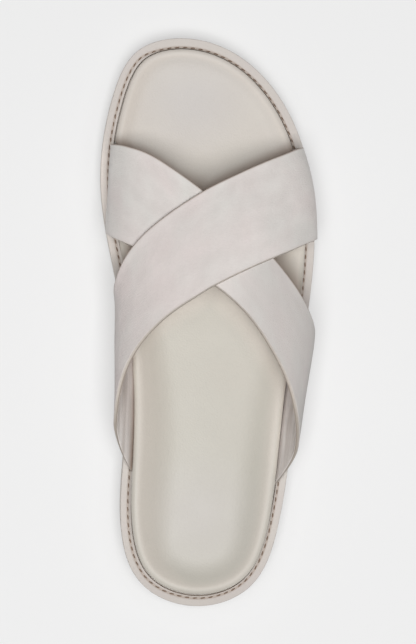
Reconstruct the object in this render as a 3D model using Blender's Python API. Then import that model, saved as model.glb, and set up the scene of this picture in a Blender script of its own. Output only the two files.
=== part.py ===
"""A flat dress sandal for the right foot, with two wide straps that cross over the instep.

It is put together the way a maker does it: a rubber outsole, a leather welt round its edge,
a moulded footbed inside the welt, and an upper of two straps that are joined where they cross
and whose four ends go down between welt and footbed.
+Y points to the toe, +X to the outer side of the foot and +Z up, and the floor is z = 0.
All sizes are millimetres until a mesh is made.
"""

import bpy
import bmesh
import numpy as np


def table(columns, *rows):
    """A short table as named columns, one row for each section."""
    return dict(zip(columns.split(), np.array(rows, float).T))


MILLIMETRE = 0.001
GAP = 0.3  # clearance between pieces that meet

# The sole's outline seen from above, from the heel's back up the inner side and down the outer one
OUTLINE = table(
    "across along",
    (-5.0, -144.0),  # back of the heel
    (-34.9, -131.4),
    (-44.6, -99.0),  # inner side of the heel
    (-42.9, -65.0),
    (-45.3, 12.0),  # inner waist
    (-54.4, 66.0),  # inner ball
    (-48.2, 115.2),
    (-36.2, 137.2),
    (-12.9, 144.0),  # tip of the toe
    (16.0, 135.1),
    (39.6, 109.9),
    (51.7, 77.2),
    (54.6, 45.0),  # outer ball
    (45.5, -33.0),  # outer waist
    (35.4, -104.0),  # outer side of the heel
    (22.0, -133.5),
)
OUTLINE_STEPS = 96  # points round the outline, an even number

# Heights along the sole: its underside over the floor, and the top of the welt, called the rim
SOLE = table(
    "along underside rim",
    (-144.0, 1.5, 20.5),
    (-130.0, 0.0, 20.4),
    (-50.0, 0.0, 18.6),
    (-10.0, 2.5, 16.2),
    (20.0, 0.0, 14.6),
    (88.0, 0.0, 13.4),
    (120.0, 3.0, 14.6),
    (144.0, 7.5, 17.5),
)
# The rounds of the outsole's lower and upper edge, as distances in from its side
LOWER_EDGE = table("inward rise", (2.2, 0.0), (0.7, 0.5), (0.0, 1.8))
UPPER_EDGE = table("inward below", (0.0, 0.8), (0.25, 0.2), (0.8, 0.0))

WELT_THICKNESS = 2.4
WELT_SETBACK = 0.3  # welt's edge behind the outsole's edge
WELT_EDGE_ROUND = 0.7

# Distances in from the outline, and the shift of all that lies inside the welt to the outer side
WELT_INNER = 5.4
STRAP_SKIVED = 1.2  # thinned end of a strap, held in the groove
STRAP_OUTER = WELT_INNER + GAP
STRAP_INNER = STRAP_OUTER + STRAP_SKIVED
FOOTBED_BASE = STRAP_INNER + GAP
OUTWARD_SHIFT = 0.3

# Moulded footbed: heights of its floor and of its rolled lip over the rim, how far the lip reaches
# out over the groove, on the inner and the outer side, and the slope's length from lip to floor
FOOTBED = table(
    "along floor lip_inner lip_outer reach_inner reach_outer slope",
    (-144.0, 2.8, 8.0, 8.0, 0.5, 0.5, 17.0),
    (-128.0, 2.3, 8.3, 8.3, 1.1, 1.1, 17.0),
    (-105.0, 1.9, 8.8, 8.5, 1.7, 1.3, 21.0),
    (-83.0, 2.0, 9.4, 8.4, 2.2, 0.5, 23.5),
    (-60.0, 2.3, 9.9, 8.0, 2.9, 0.0, 24.0),
    (-36.0, 2.9, 10.3, 7.3, 3.5, 0.0, 22.0),
    (-15.0, 3.5, 10.2, 6.5, 4.1, 0.2, 19.0),
    (0.0, 3.8, 9.0, 5.8, 3.6, 0.6, 16.0),
    (40.0, 3.6, 4.6, 4.2, 1.2, 1.2, 12.0),
    (90.0, 3.2, 4.8, 4.2, 1.2, 1.3, 10.0),
    (144.0, 3.8, 4.8, 4.6, 1.2, 1.2, 10.0),
)
LIP_NOTCH_CLEAR = 4.0  # the lip stays inside a strap's lining this far past the strap's edge
LIP_NOTCH_RELEASE = 0.3  # and comes out by this share of the way beyond that
LIP_ROOT = 0.4  # height over the rim at which the lip begins to lean out
# The lip's round, as distances in from its outer edge and shares of its height over the rim
LIP = table("inward share", (0.0, 0.78), (0.35, 0.92), (1.1, 0.985), (2.2, 1.0))
# The slope from the lip to the floor steepens over its first share, runs straight and then eases out
CUP_STEEPENED = 0.15
CUP_EASING = 0.4
CUP_SHARES = (0.15, 0.28, 0.4, 0.6, 0.8, 1.0)  # shares of its length at which it is drawn

# Sections of the last that the straps lie on, with heights over the straps' ends
LAST = table(
    "along height shoulder ridge bulge_inner bulge_outer",
    (91.0, 38.0, 15.0, -1.5, 0.7, 3.4),
    (66.0, 44.0, 16.0, -1.5, 1.8, 4.4),
    (42.0, 50.0, 18.0, -1.0, 6.2, 4.6),
    (18.0, 55.0, 20.0, -0.5, 7.0, 5.8),
    (-14.0, 60.0, 22.0, 0.5, 10.8, 8.4),
    (-46.0, 63.0, 23.0, 0.5, 11.6, 7.2),
    (-82.0, 66.0, 24.0, 0.5, 11.6, 6.0),
)
WALL_SHARE = 0.12  # share of the girth on each side wall
STRAIGHT_RISE = 2.8  # a strap's end goes straight up in the groove this far

# The straps' cut edges along the shoe, across the girth from the inner groove (0) to the outer (1)
UNDER_STRAP = table(
    "girth front rear",
    (0.00, 90.0, 44.5),
    (0.16, 89.0, 43.0),
    (0.26, 87.2, 38.9),
    (0.35, 82.3, 32.8),
    (0.42, 74.2, 27.4),
    (0.50, 62.0, 18.7),
    (0.57, 47.6, 5.8),
    (0.65, 30.8, -14.8),
    (0.73, 14.6, -33.8),
    (0.82, -0.5, -53.0),
    (0.88, -7.0, -64.5),
    (0.94, -10.5, -77.5),
    (1.00, -14.0, -86.0),
)
OVER_STRAP = table(
    "girth front rear",
    (0.00, 6.0, -82.0),
    (0.06, 9.5, -71.0),
    (0.12, 13.5, -51.3),
    (0.19, 20.5, -33.0),
    (0.26, 30.4, -17.3),
    (0.35, 44.5, -1.6),
    (0.47, 61.3, 13.0),
    (0.60, 75.7, 27.0),
    (0.75, 85.0, 37.8),
    (1.00, 88.0, 42.0),
)
STRAP_THICKNESS = 2.0
STRAP_JOIN = 0.3  # depth to which the upper strap is fused into the lower one
CROSSING_RAMP = 38.0  # length over which the upper strap comes down beside the lower one
SKIVE_END = 8.0  # height at which a strap has its full thickness
STRAP_STEPS_ACROSS = 10
STRAP_STEPS_WALL = 7
STRAP_STEPS_ARCH = 38


def smooth_step(share):
    """A rise from 0 to 1 that starts and ends level."""
    share = np.clip(share, 0.0, 1.0)
    return share * share * (3.0 - 2.0 * share)


def read(rows, column, at, by="along"):
    """A table's column at any place, on a smooth curve through its rows that is level at each turn."""
    order = np.argsort(rows[by])
    place = rows[by][order]
    value = rows[column][order]
    width = np.diff(place)
    rise = np.diff(value) / width
    slope = np.zeros_like(value)
    slope[0] = rise[0]
    slope[-1] = rise[-1]
    mean = (rise[1:] * width[:-1] + rise[:-1] * width[1:]) / (width[1:] + width[:-1])
    slope[1:-1] = np.where(rise[1:] * rise[:-1] > 0, mean, 0.0)
    at = np.clip(at, place[0], place[-1])
    span = np.clip(np.searchsorted(place, at) - 1, 0, len(width) - 1)
    t = (at - place[span]) / width[span]
    return (
        value[span] * (1 + 2 * t) * (1 - t) ** 2
        + slope[span] * width[span] * t * (1 - t) ** 2
        + value[span + 1] * t * t * (3 - 2 * t)
        + slope[span + 1] * width[span] * t * t * (t - 1)
    )


def closed_curve(points, steps):
    """Points along a closed cubic spline, evenly spaced from the first point to the toe and back."""
    chord = np.linalg.norm(np.roll(points, -1, 0) - points, axis=1)
    previous = np.roll(chord, 1)
    count = len(points)
    here = np.arange(count)
    system = np.zeros((count, count))
    system[here, here] = 2 * (previous + chord)
    system[here, here - 1] = previous
    system[here, (here + 1) % count] = chord
    rise = (np.roll(points, -1, 0) - points) / chord[:, None]
    bend = np.linalg.solve(system, 6 * (rise - np.roll(rise, 1, 0)))
    t = np.linspace(0, 1, 40, endpoint=False)[None, :, None]
    start = points[:, None]
    end = np.roll(points, -1, 0)[:, None]
    bow = chord[:, None, None] ** 2 / 6
    bend_start = bend[:, None]
    bend_end = np.roll(bend, -1, 0)[:, None]
    fine = (
        start * (1 - t) + end * t
        + bow * ((1 - t) ** 3 - (1 - t)) * bend_start
        + bow * (t ** 3 - t) * bend_end
    ).reshape(-1, 2)
    fine = np.vstack([fine, fine[:1]])
    length = np.concatenate([[0], np.cumsum(np.linalg.norm(np.diff(fine, axis=0), axis=1))])
    toe = length[np.argmax(fine[:, 1])]
    half = steps // 2
    along = np.concatenate([
        np.linspace(0, toe, half, endpoint=False),
        np.linspace(toe, length[-1], half, endpoint=False),
    ])
    return np.stack([np.interp(along, length, fine[:, axis]) for axis in (0, 1)], axis=1)


def outward(ring):
    """Unit normals of a ring that runs up the inner side and down the outer one."""
    tangent = np.roll(ring, -1, 0) - np.roll(ring, 1, 0)
    normal = np.stack([-tangent[:, 1], tangent[:, 0]], axis=1)
    return normal / np.linalg.norm(normal, axis=1, keepdims=True)


EDGE = closed_curve(np.stack([OUTLINE["across"], OUTLINE["along"]], axis=1), OUTLINE_STEPS)
EDGE_NORMAL = outward(EDGE)


def inset(distance, shift=0.0):
    """The sole's outline drawn in by a distance and shifted to the outer side."""
    distance = np.broadcast_to(distance, len(EDGE))
    return EDGE - EDGE_NORMAL * distance[:, None] + np.array([shift, 0.0])


def at_height(ring, height):
    """A flat ring given its heights."""
    return np.column_stack([ring, np.broadcast_to(height, len(ring))])


def rim(ring):
    """Height of the welt's top over each point of a flat ring."""
    return read(SOLE, "rim", ring[:, 1])


def matt(name, colour, roughness):
    """A plain material for leather or rubber."""
    material = bpy.data.materials.new(name)
    material.use_nodes = True
    shader = material.node_tree.nodes["Principled BSDF"]
    shader.inputs["Base Color"].default_value = (*colour, 1.0)
    shader.inputs["Roughness"].default_value = roughness
    shader.inputs["Metallic"].default_value = 0.0
    return material


def add_solid(name, points, faces, material):
    """A closed mesh as a named object, its faces turned outward and shaded smooth."""
    mesh = bpy.data.meshes.new(name)
    mesh.from_pydata((np.asarray(points) * MILLIMETRE).tolist(), [], faces)
    shape = bmesh.new()
    shape.from_mesh(mesh)
    bmesh.ops.recalc_face_normals(shape, faces=shape.faces)
    shape.to_mesh(mesh)
    shape.free()
    mesh.shade_smooth()
    mesh.set_sharp_from_angle(angle=np.radians(40))
    mesh.materials.append(material)
    item = bpy.data.objects.new(name, mesh)
    bpy.context.scene.collection.objects.link(item)
    return item


def band_faces(first, second, steps):
    """Four-sided faces between two closed rings, given the number of each ring's first point."""
    return [
        (first + i, second + i, second + (i + 1) % steps, first + (i + 1) % steps)
        for i in range(steps)
    ]


def ladder_faces(first, steps):
    """Faces that close a ring with rungs from its inner side to its outer one."""
    half = steps // 2
    faces = [
        (first + i, first + i + 1, first + steps - i - 1, first + steps - i)
        for i in range(1, half - 1)
    ]
    faces.append((first, first + 1, first + steps - 1))
    faces.append((first + half - 1, first + half, first + half + 1))
    return faces


def stacked_solid(name, rings, material):
    """A solid from rings of points, bottom to top, closed below the first and above the last."""
    steps = len(rings[0])
    faces = []
    for level in range(len(rings) - 1):
        faces += band_faces(level * steps, (level + 1) * steps, steps)
    faces += ladder_faces(0, steps)
    faces += ladder_faces((len(rings) - 1) * steps, steps)
    return add_solid(name, np.vstack(rings), faces, material)


def looped_solid(name, rings, material):
    """A closed strip from rings of points that follow its section once round."""
    steps = len(rings[0])
    faces = []
    for level in range(len(rings)):
        faces += band_faces(level * steps, (level + 1) % len(rings) * steps, steps)
    return add_solid(name, np.vstack(rings), faces, material)


def make_outsole(material):
    """The rubber sole unit: flat under heel and ball, lifted at the waist and the toe."""
    rings = []
    for inward, rise in zip(LOWER_EDGE["inward"], LOWER_EDGE["rise"]):
        ring = inset(inward)
        rings.append(at_height(ring, read(SOLE, "underside", ring[:, 1]) + rise))
    for inward, below in zip(UPPER_EDGE["inward"], UPPER_EDGE["below"]):
        ring = inset(inward)
        rings.append(at_height(ring, rim(ring) - WELT_THICKNESS - GAP - below))
    return stacked_solid("outsole", rings, material)


def make_welt(material):
    """The flat leather strip that is stitched down round the edge of the sole."""
    outer = inset(WELT_SETBACK)
    rounded = inset(WELT_SETBACK + WELT_EDGE_ROUND)
    inner = inset(WELT_INNER, OUTWARD_SHIFT)
    rings = [
        at_height(inner, rim(inner) - WELT_THICKNESS),
        at_height(outer, rim(outer) - WELT_THICKNESS),
        at_height(outer, rim(outer) - WELT_EDGE_ROUND),
        at_height(inset(WELT_SETBACK + 0.3 * WELT_EDGE_ROUND), rim(outer) - 0.3 * WELT_EDGE_ROUND),
        at_height(rounded, rim(rounded)),
        at_height(inner, rim(inner)),
    ]
    return looped_solid("welt", rings, material)


def side_value(column, ring):
    """A value of the footbed that differs from side to side, blended round heel and toe."""
    outer_share = smooth_step((EDGE_NORMAL[:, 0] + 1) / 2)
    inner = read(FOOTBED, column + "_inner", ring[:, 1])
    outer = read(FOOTBED, column + "_outer", ring[:, 1])
    return inner + (outer - inner) * outer_share


def lining_reach(up):
    """How far the footbed can lean out at a height over the straps' ends and stay inside a lining.

    Past a strap's edge it can reach further, the more the further away.
    """
    along = EDGE[:, 1]
    inner_side = EDGE[:, 0] < 0
    bulge = np.where(inner_side, read(LAST, "bulge_inner", along), read(LAST, "bulge_outer", along))
    past = np.full(len(EDGE), np.inf)
    for strap in (UNDER_STRAP, OVER_STRAP):
        for end, side in ((0, inner_side), (-1, ~inner_side)):
            beyond = np.maximum(along - strap["front"][end], strap["rear"][end] - along)
            past = np.where(side, np.minimum(past, beyond), past)
    release = LIP_NOTCH_RELEASE * np.maximum(past - LIP_NOTCH_CLEAR, 0)
    return bulge * lean(up, read(LAST, "shoulder", along)) + release


def cup_fall(share):
    """Fall from the lip (0) to the floor (1) along the slope."""
    steepened = np.minimum(share, CUP_STEEPENED) ** 2 / (2 * CUP_STEEPENED)
    straight = np.clip(share - CUP_STEEPENED, 0, CUP_EASING - CUP_STEEPENED)
    easing = np.clip(share - CUP_EASING, 0, 1 - CUP_EASING)
    eased = easing - easing ** 2 / (2 * (1 - CUP_EASING))
    return (steepened + straight + eased) / ((1 - CUP_STEEPENED + CUP_EASING) / 2)


def make_footbed(material):
    """The moulded footbed: a rolled lip round a cup that is deep at the heel and flat at the toe."""
    base = inset(FOOTBED_BASE, OUTWARD_SHIFT)
    rings = [
        at_height(base, rim(base) - WELT_THICKNESS),
        at_height(base, rim(base) + LIP_ROOT),
    ]
    side_top = LIP["share"][0] * side_value("lip", EDGE)
    for share in (0.5, 1.0):
        over_rim = LIP_ROOT + (side_top - LIP_ROOT) * share
        reach = side_value("reach", EDGE) * smooth_step(share)
        lip_start = FOOTBED_BASE - np.minimum(reach, lining_reach(WELT_THICKNESS + over_rim))
        ring = inset(lip_start, OUTWARD_SHIFT)
        rings.append(at_height(ring, rim(ring) + over_rim))
    for inward, share in zip(LIP["inward"][1:], LIP["share"][1:]):
        ring = inset(lip_start + inward, OUTWARD_SHIFT)
        rings.append(at_height(ring, rim(ring) + share * side_value("lip", ring)))
    lip_end = lip_start + LIP["inward"][-1]
    slope = read(FOOTBED, "slope", EDGE[:, 1])
    for share in CUP_SHARES:
        ring = inset(lip_end + slope * share, OUTWARD_SHIFT)
        floor = read(FOOTBED, "floor", ring[:, 1])
        sunk = cup_fall(share)
        rings.append(at_height(ring, rim(ring) + side_value("lip", ring) * (1 - sunk) + floor * sunk))
    return stacked_solid("footbed", rings, material)


GROOVE = inset(STRAP_INNER, OUTWARD_SHIFT)


def groove_across(along, outer_side):
    """Where the lining of a strap's end stands in the groove, on one side of the shoe."""
    half = OUTLINE_STEPS // 2
    side = GROOVE[half:][::-1] if outer_side else GROOVE[:half]
    return np.interp(along, side[:, 1], side[:, 0])


def lean(up, shoulder):
    """Share of its bulge that a strap's side wall has at a height over its end."""
    return smooth_step((up - STRAIGHT_RISE) / (shoulder - STRAIGHT_RISE))


def last_point(girth, along):
    """The lining's place on the last, straight up from the groove, out over a bulge and along an arch.

    Girth runs from 0 in the inner groove to 1 in the outer one; the height over the groove is given too.
    """
    girth, along = np.broadcast_arrays(girth, along)
    height = read(LAST, "height", along)
    shoulder = read(LAST, "shoulder", along)
    ridge = read(LAST, "ridge", along)
    wall = np.minimum(girth, 1 - girth) / WALL_SHARE
    up = shoulder * np.minimum(wall, 1)
    inner = groove_across(along, False) - read(LAST, "bulge_inner", along) * lean(up, shoulder)
    outer = groove_across(along, True) + read(LAST, "bulge_outer", along) * lean(up, shoulder)
    turn = np.pi * np.clip((girth - WALL_SHARE) / (1 - 2 * WALL_SHARE), 0, 1)
    side = np.where(girth < 0.5, inner, outer)
    across = np.where(wall < 1, side, ridge + np.abs(np.cos(turn)) * (side - ridge))
    up = up + (height - shoulder) * np.sin(turn)
    base = read(SOLE, "rim", along) - WELT_THICKNESS
    return np.stack([across, along, base + up], axis=-1), up


def last_surface(girth, along, lift):
    """Points at a height off the last, measured square to it, and the last's height under them."""
    girth_step = 0.002
    along_step = 1.0
    point, up = last_point(girth, along)
    before = last_point(np.clip(girth - girth_step, 0, 1), along)[0]
    after = last_point(np.clip(girth + girth_step, 0, 1), along)[0]
    behind = last_point(girth, along - along_step)[0]
    ahead = last_point(girth, along + along_step)[0]
    normal = np.cross(after - before, ahead - behind)
    normal /= np.linalg.norm(normal, axis=-1, keepdims=True)
    return point + normal * np.broadcast_to(lift, girth.shape)[..., None], up


def strap_girths():
    """Places round the girth at which a strap is drawn, closer on the walls."""
    wall = np.linspace(0, WALL_SHARE, STRAP_STEPS_WALL, endpoint=False)
    arch = np.linspace(WALL_SHARE, 1 - WALL_SHARE, STRAP_STEPS_ARCH, endpoint=False)
    return np.concatenate([wall, arch, 1 - np.append(wall, WALL_SHARE)[::-1]])


def crossing_lift(girth, along):
    """How far the upper strap is raised off the last by the one that it crosses."""
    ahead = along - read(UNDER_STRAP, "front", girth, by="girth")
    behind = read(UNDER_STRAP, "rear", girth, by="girth") - along
    beside = np.maximum(np.maximum(ahead, behind), 0)
    return (STRAP_THICKNESS - STRAP_JOIN) * (1 - smooth_step(beside / CROSSING_RAMP))


def make_strap(name, edges, raised, material):
    """One strap as a closed band on the last, thinned at its ends."""
    girth = strap_girths()[:, None]
    share = np.linspace(0, 1, STRAP_STEPS_ACROSS + 1)[None, :]
    front = read(edges, "front", girth, by="girth")
    rear = read(edges, "rear", girth, by="girth")
    along = rear + (front - rear) * share
    girth = np.broadcast_to(girth, along.shape)
    lift = crossing_lift(girth, along) if raised else np.zeros(along.shape)
    lining, up = last_surface(girth, along, lift)
    full = smooth_step((up - STRAIGHT_RISE) / (SKIVE_END - STRAIGHT_RISE))
    thickness = STRAP_SKIVED + (STRAP_THICKNESS - STRAP_SKIVED) * full
    outside = last_surface(girth, along, lift + thickness)[0]
    rows, columns = along.shape
    number = np.arange(rows * columns).reshape(rows, columns)
    under = number + rows * columns
    faces = []
    for sheet in (number, under):
        quads = np.stack([sheet[:-1, :-1], sheet[1:, :-1], sheet[1:, 1:], sheet[:-1, 1:]], axis=-1)
        faces += quads.reshape(-1, 4).tolist()
    border = np.concatenate([number[:-1, 0], number[-1, :-1], number[:0:-1, -1], number[0, :0:-1]])
    below = border + rows * columns
    faces += np.stack([border, np.roll(border, -1), np.roll(below, -1), below], axis=-1).tolist()
    points = np.concatenate([outside.reshape(-1, 3), lining.reshape(-1, 3)])
    return add_solid(name, points, faces, material)


def make_upper(material):
    """The two straps, fused where they cross over the instep."""
    upper = make_strap("upper", UNDER_STRAP, False, material)
    over = make_strap("over_strap_guide", OVER_STRAP, True, material)
    over.hide_render = True
    over.display_type = "WIRE"
    join = upper.modifiers.new("join", "BOOLEAN")
    join.operation = "UNION"
    join.solver = "EXACT"
    join.object = over
    return upper


for old in list(bpy.data.objects):
    bpy.data.objects.remove(old)

make_outsole(matt("outsole_rubber", (0.52, 0.47, 0.42), 0.75))
make_welt(matt("welt_leather", (0.58, 0.53, 0.48), 0.55))
make_footbed(matt("footbed_leather", (0.62, 0.58, 0.53), 0.50))
make_upper(matt("strap_nubuck", (0.63, 0.59, 0.56), 0.85))
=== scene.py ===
"""The finish of a flat dress sandal for the right foot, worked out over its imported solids.

The pieces follow in the order in which the sandal is put together: outsole, welt, welt stitches,
under strap, over strap and footbed. The floor, the light and the camera come last.
+Y points to the toe, +X to the outer side of the foot and +Z up, and the floor is z = 0.
Sizes are millimetres until a mesh is made.
"""

import bmesh
import bpy
import numpy as np
from mathutils import Matrix, Vector


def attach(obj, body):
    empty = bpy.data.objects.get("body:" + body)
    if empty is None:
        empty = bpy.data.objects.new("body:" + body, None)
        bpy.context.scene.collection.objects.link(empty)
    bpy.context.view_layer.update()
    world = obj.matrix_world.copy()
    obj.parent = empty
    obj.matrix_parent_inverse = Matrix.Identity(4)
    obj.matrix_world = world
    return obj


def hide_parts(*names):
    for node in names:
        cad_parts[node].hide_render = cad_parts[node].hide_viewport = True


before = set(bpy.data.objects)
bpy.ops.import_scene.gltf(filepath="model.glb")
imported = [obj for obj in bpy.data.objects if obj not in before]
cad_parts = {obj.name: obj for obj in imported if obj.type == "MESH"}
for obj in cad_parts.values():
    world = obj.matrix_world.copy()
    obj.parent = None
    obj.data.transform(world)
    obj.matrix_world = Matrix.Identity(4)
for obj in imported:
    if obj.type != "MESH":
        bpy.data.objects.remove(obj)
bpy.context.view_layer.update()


# Outsole: the rubber sole unit that carries everything, flat under heel and ball and lifted
# at the waist and the toe. It is moulded in one piece with rounded edges, and wavy cross grooves
# are moulded into the underside of heel and forefoot.

MILLIMETRE = 0.001
MERGE_DISTANCE = 2e-6  # metres; points closer than this are one point


def table(columns, *rows):
    """A short table as named columns, one row for each section."""
    return dict(zip(columns.split(), np.array(rows, float).T))


# The sole's outline seen from above, from the heel's back up the inner side and down the outer one
OUTLINE = table(
    "across along",
    (-5.0, -144.0),  # back of the heel
    (-34.9, -131.4),
    (-44.6, -99.0),  # inner side of the heel
    (-42.9, -65.0),
    (-45.3, 12.0),  # inner waist
    (-54.4, 66.0),  # inner ball
    (-48.2, 115.2),
    (-36.2, 137.2),
    (-12.9, 144.0),  # tip of the toe
    (16.0, 135.1),
    (39.6, 109.9),
    (51.7, 77.2),
    (54.6, 45.0),  # outer ball
    (45.5, -33.0),  # outer waist
    (35.4, -104.0),  # outer side of the heel
    (22.0, -133.5),
)
OUTLINE_STEPS = 960  # points round the outline, an even number
SPLINE_STEPS = 160  # points on the spline between two points of the table

# Heights along the sole: its underside over the floor, and the top of the welt, called the rim
SOLE = table(
    "along underside rim",
    (-144.0, 1.5, 20.5),
    (-130.0, 0.0, 20.4),
    (-50.0, 0.0, 18.6),
    (-10.0, 2.5, 16.2),
    (20.0, 0.0, 14.6),
    (88.0, 0.0, 13.4),
    (120.0, 3.0, 14.6),
    (144.0, 7.5, 17.5),
)
LOWER_ROUND_INWARD = 2.2
LOWER_ROUND_RISE = 1.8
UPPER_ROUND = 0.4
ROUND_STEPS = 8  # points on each round
WALL_STEPS = 7  # points up the wall, with both its ends
UNDERSIDE_COLUMNS = 64  # points across the underside, close enough for the tread
TOP_COLUMNS = 5  # points across the top, which welt and footbed cover
OUTSOLE_BELOW_RIM = 2.7  # the welt and a clearance
TREAD_DEPTH = 0.9
TREAD_PITCH = 7.0
TREAD_GROOVE_SHARE = 0.38  # of the pitch
TREAD_SOFTNESS = 0.45
TREAD_SWAY = 2.4
TREAD_SWAY_LENGTH = 30.0
TREAD_BORDER = 7.0
TREAD_FADE = 2.0
TREAD_ZONES = table("rear front", (-124.0, -62.0), (6.0, 116.0))


def smooth_step(share):
    """A rise from 0 to 1 that starts and ends level."""
    share = np.clip(share, 0.0, 1.0)
    return share * share * (3.0 - 2.0 * share)


def read(rows, column, at, by="along"):
    """A table's column at any place, on a smooth curve through its rows that is level at each turn."""
    order = np.argsort(rows[by])
    place = rows[by][order]
    value = rows[column][order]
    width = np.diff(place)
    rise = np.diff(value) / width
    slope = np.zeros_like(value)
    slope[0] = rise[0]
    slope[-1] = rise[-1]
    mean = (rise[1:] * width[:-1] + rise[:-1] * width[1:]) / (width[1:] + width[:-1])
    slope[1:-1] = np.where(rise[1:] * rise[:-1] > 0, mean, 0.0)
    at = np.clip(at, place[0], place[-1])
    span = np.clip(np.searchsorted(place, at) - 1, 0, len(width) - 1)
    t = (at - place[span]) / width[span]
    return (
        value[span] * (1 + 2 * t) * (1 - t) ** 2
        + slope[span] * width[span] * t * (1 - t) ** 2
        + value[span + 1] * t * t * (3 - 2 * t)
        + slope[span + 1] * width[span] * t * t * (t - 1)
    )


def closed_curve(points, steps):
    """Points along a closed cubic spline, evenly spaced from the first point to the toe and back."""
    chord = np.linalg.norm(np.roll(points, -1, 0) - points, axis=1)
    previous = np.roll(chord, 1)
    count = len(points)
    here = np.arange(count)
    system = np.zeros((count, count))
    system[here, here] = 2 * (previous + chord)
    system[here, here - 1] = previous
    system[here, (here + 1) % count] = chord
    rise = (np.roll(points, -1, 0) - points) / chord[:, None]
    bend = np.linalg.solve(system, 6 * (rise - np.roll(rise, 1, 0)))
    t = np.linspace(0, 1, SPLINE_STEPS, endpoint=False)[None, :, None]
    start = points[:, None]
    end = np.roll(points, -1, 0)[:, None]
    bow = chord[:, None, None] ** 2 / 6
    fine = (
        start * (1 - t) + end * t
        + bow * ((1 - t) ** 3 - (1 - t)) * bend[:, None]
        + bow * (t ** 3 - t) * np.roll(bend, -1, 0)[:, None]
    ).reshape(-1, 2)
    fine = np.vstack([fine, fine[:1]])
    length = np.concatenate([[0], np.cumsum(np.linalg.norm(np.diff(fine, axis=0), axis=1))])
    toe = length[np.argmax(fine[:, 1])]
    half = steps // 2
    along = np.concatenate([
        np.linspace(0, toe, half, endpoint=False),
        np.linspace(toe, length[-1], half, endpoint=False),
    ])
    return np.stack([np.interp(along, length, fine[:, axis]) for axis in (0, 1)], axis=1)


def outward(ring):
    """Unit normals of a ring that runs up the inner side and down the outer one."""
    tangent = np.roll(ring, -1, 0) - np.roll(ring, 1, 0)
    normal = np.stack([-tangent[:, 1], tangent[:, 0]], axis=1)
    return normal / np.linalg.norm(normal, axis=1, keepdims=True)


EDGE = closed_curve(np.stack([OUTLINE["across"], OUTLINE["along"]], axis=1), OUTLINE_STEPS)
EDGE_NORMAL = outward(EDGE)


def inset(distance, shift=0.0):
    """The outline drawn in along its normals by distances, and shifted to the outer side."""
    distance = np.asarray(distance, float)[..., None]
    shift = np.asarray(shift, float)[..., None] * np.array([1.0, 0.0])
    return EDGE - EDGE_NORMAL * distance + shift


def at_height(flat, height):
    """Flat points given their heights."""
    height = np.broadcast_to(height, flat.shape[:-1])
    return np.concatenate([flat, height[..., None]], axis=-1)


def rungs(ring, columns):
    """Straight rungs across a flat ring, from its inner side to its outer one, heel to toe."""
    half = len(ring) // 2
    inner = ring[:half + 1, None]
    outer = ring[-np.arange(half + 1), None]
    share = np.linspace(0, 1, columns)[None, :, None]
    return inner * (1 - share) + outer * share


def sheet(points, ring=False, loop=False):
    """A grid's points and four-sided faces.

    A ring joins the last column to the first, and a loop joins the last row to the first.
    """
    number = np.arange(points.shape[0] * points.shape[1]).reshape(points.shape[:2])
    if ring:
        number = np.column_stack([number, number[:, 0]])
    if loop:
        number = np.vstack([number, number[:1]])
    corners = [number[:-1, :-1], number[:-1, 1:], number[1:, 1:], number[1:, :-1]]
    return points.reshape(-1, 3), np.stack(corners, axis=-1).reshape(-1, 4)


def add_piece(name, sheets, material, fields=None):
    """One closed mesh from sheets that meet, smooth and facing outward, riding on the sandal.

    Fields are values at the points, such as distances, that the material reads by name.
    """
    counts = [len(points) for points, _ in sheets]
    starts = np.cumsum([0] + counts[:-1])
    points = np.concatenate([points for points, _ in sheets]) * MILLIMETRE
    faces = np.concatenate([faces + start for (_, faces), start in zip(sheets, starts)])
    mesh = bpy.data.meshes.new(name)
    mesh.from_pydata(points.tolist(), [], faces.tolist())
    for field, values in (fields or {}).items():
        kind, key = ("FLOAT", "value") if values.ndim == 1 else ("FLOAT_VECTOR", "vector")
        attribute = mesh.attributes.new(field, kind, "POINT")
        attribute.data.foreach_set(key, values.astype(np.float32).ravel())
    shape = bmesh.new()
    shape.from_mesh(mesh)
    bmesh.ops.remove_doubles(shape, verts=shape.verts, dist=MERGE_DISTANCE)
    bmesh.ops.recalc_face_normals(shape, faces=shape.faces)
    shape.to_mesh(mesh)
    shape.free()
    mesh.shade_smooth()
    mesh.materials.append(material)
    item = bpy.data.objects.new(name, mesh)
    bpy.context.scene.collection.objects.link(item)
    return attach(item, "root")


def tread(flat, border):
    """Depth of the moulded grooves: a cosine along the shoe, swayed by a sine across it.

    The grooves fade out near the border of the underside and outside the zones of heel and forefoot.
    """
    across = flat[..., 0]
    along = flat[..., 1]
    sway = TREAD_SWAY * np.sin(2 * np.pi * across / TREAD_SWAY_LENGTH)
    wave = np.cos(2 * np.pi * (along + sway) / TREAD_PITCH)
    groove = smooth_step((wave - np.cos(np.pi * TREAD_GROOVE_SHARE)) / TREAD_SOFTNESS)
    zone = np.zeros(along.shape)
    for rear, front in zip(TREAD_ZONES["rear"], TREAD_ZONES["front"]):
        zone += smooth_step((along - rear) / TREAD_FADE) * smooth_step((front - along) / TREAD_FADE)
    return TREAD_DEPTH * groove * zone * smooth_step((border - TREAD_BORDER) / TREAD_FADE)


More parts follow.
